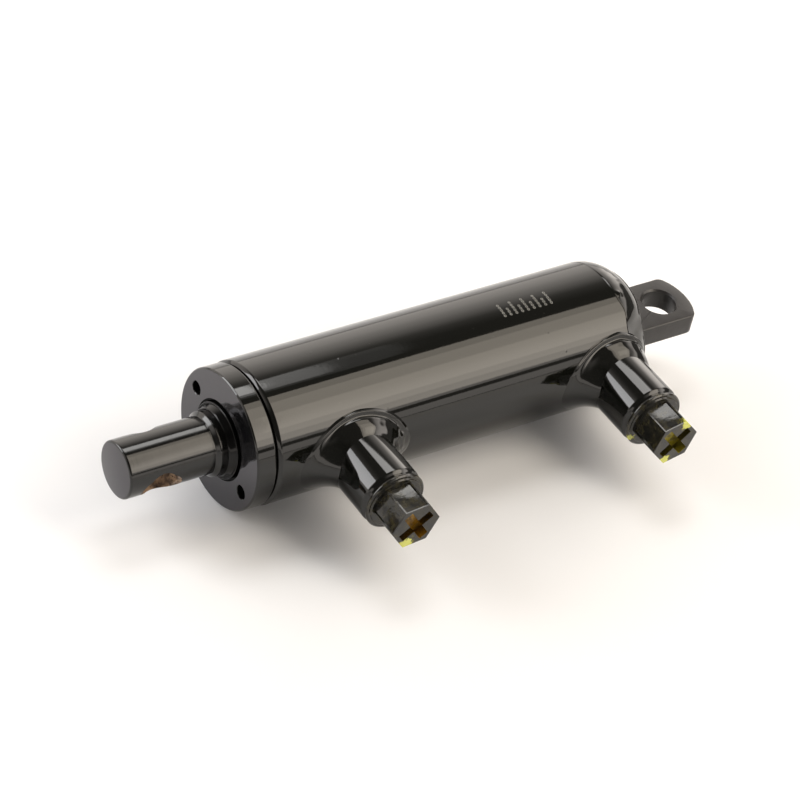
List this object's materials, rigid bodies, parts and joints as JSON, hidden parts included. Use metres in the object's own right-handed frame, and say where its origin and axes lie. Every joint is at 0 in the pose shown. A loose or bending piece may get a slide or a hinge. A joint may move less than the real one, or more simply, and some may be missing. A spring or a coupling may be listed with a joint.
{
  "type": "hydraulic cylinder",
  "caption": "Welded-body double-acting hydraulic cylinder, retracted: flat base lug, side port bosses with shipping plugs, spanner gland and a rod end drilled for a cross pin.",
  "frame": {"origin": "centre of the base lug's pin hole", "axes": "+X along the cylinder towards the rod end, +Y towards the ports, +Z along the base lug's pin hole"},
  "size_m": [0.2968, 0.1088, 0.0636],
  "materials": {
    "black_enamel": "thick gloss enamel",
    "weld_enamel": "gloss enamel over weld beads",
    "lug_enamel": "thin satin enamel over rolled bar",
    "gland_enamel": "gloss enamel over turned iron",
    "nitrile": "matte",
    "wiper_rubber": "oversprayed with gloss enamel",
    "white_ptfe": "matte",
    "blue_urethane": "satin",
    "guide_resin": "matte",
    "bronze_ptfe": "matte",
    "hard_chrome": "ground hard chrome; the end that stands out of the gland is painted over",
    "machined_iron": "turned",
    "bright_steel": "turned",
    "yellow_plastic": "moulded yellow plastic, oversprayed black"
  },
  "bodies": {
    "barrel": {"barrel_tube": "black_enamel", "end_cap": "black_enamel", "end_cap_weld": "weld_enamel", "rear_lug": "lug_enamel", "lug_weld": "weld_enamel", "front_port_boss": "black_enamel", "rear_port_boss": "black_enamel", "front_port_weld": "weld_enamel", "rear_port_weld": "weld_enamel", "gland": "gland_enamel", "gland_o_ring": "nitrile", "gland_backup_ring": "white_ptfe", "rod_wiper": "wiper_rubber", "rod_seal": "blue_urethane", "rod_guide_ring": "guide_resin"},
    "piston_rings": {"piston_seal": "bronze_ptfe", "piston_seal_energiser": "nitrile", "rear_wear_ring": "guide_resin", "front_wear_ring": "guide_resin"},
    "rod": {"piston_rod": "hard_chrome", "piston": "machined_iron", "piston_lock_nut": "bright_steel", "piston_o_ring": "nitrile"},
    "front_plug": {"front_port_plug": "yellow_plastic"},
    "rear_plug": {"rear_port_plug": "yellow_plastic"}
  },
  "joints": [
    {"name": "rod_stroke", "type": "slide", "parent": "barrel", "child": "piston_rings", "axis": [1, 0, 0], "range_m": [0, 0.1016]},
    {"name": "rod_turn", "type": "hinge", "parent": "piston_rings", "child": "rod", "pos_m": [0.2, 0, 0], "axis": [1, 0, 0], "continuous": true},
    {"name": "front_plug_out", "type": "slide", "parent": "barrel", "child": "front_plug", "axis": [0, 1, 0], "range_m": [0, 0.018]},
    {"name": "rear_plug_out", "type": "slide", "parent": "barrel", "child": "rear_plug", "axis": [0, 1, 0], "range_m": [0, 0.018]}
  ]
}
